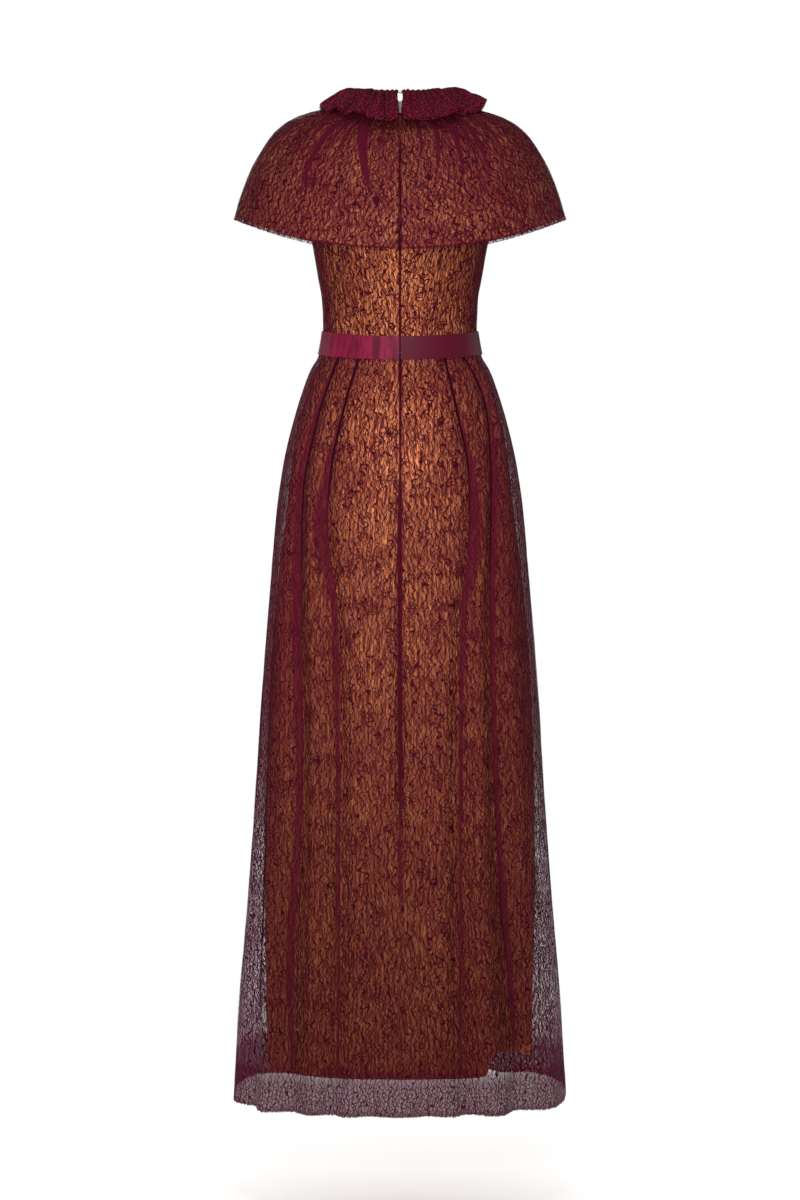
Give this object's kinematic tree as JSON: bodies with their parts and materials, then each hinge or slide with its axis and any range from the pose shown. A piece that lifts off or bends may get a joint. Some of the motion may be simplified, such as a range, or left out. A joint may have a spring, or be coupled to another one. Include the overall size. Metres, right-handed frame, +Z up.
{
  "type": "a-line gown",
  "caption": "Floor-length A-line evening gown in vein lace over a slim satin lining, with a gathered capelet, frilled collar and satin waist ribbon.",
  "frame": {"origin": "between the shoulders, at the level where the wearer's shoulders carry the gown", "axes": "+Z up, -Y towards the front of the gown, +X towards the wearer's left"},
  "size_m": [0.4972, 0.344, 1.4912],
  "materials": {
    "lining": "copper satin with a soft sheen",
    "lace": "burgundy vein lace on a fine net, crinkled",
    "frill": "dense crinkled burgundy ruffle cloth",
    "ribbon": "wine satin ribbon with a low sheen",
    "zip_tape": "woven zip tape",
    "hardware": "painted zip slider and wire hooks"
  },
  "bodies": {
    "gown": {"bodice_lining_front": "lining", "bodice_lining_back_left": "lining", "bodice_lining_back_right": "lining", "skirt_lining_front": "lining", "skirt_lining_back_left": "lining", "skirt_lining_back_right": "lining", "cape_lining": "lining", "bodice_lace_front": "lace", "bodice_lace_back_left": "lace", "bodice_lace_back_right": "lace", "skirt_lace_front": "lace", "skirt_lace_back_left": "lace", "skirt_lace_back_right": "lace", "cape_lace": "lace", "collar_stand": "frill", "collar_frill": "frill", "waist_ribbon": "ribbon", "zip_tape": "zip_tape", "zip_slider": "hardware", "collar_hook": "hardware", "collar_eye": "hardware", "ribbon_hook": "hardware"},
    "pull": {"zip_pull": "hardware"}
  },
  "joints": [
    {"name": "zip_pull_swing", "type": "hinge", "parent": "gown", "child": "pull", "pos_m": [0, 0.05635, 0.0216], "axis": [1, 0, 0], "range_deg": [0, 125]}
  ]
}
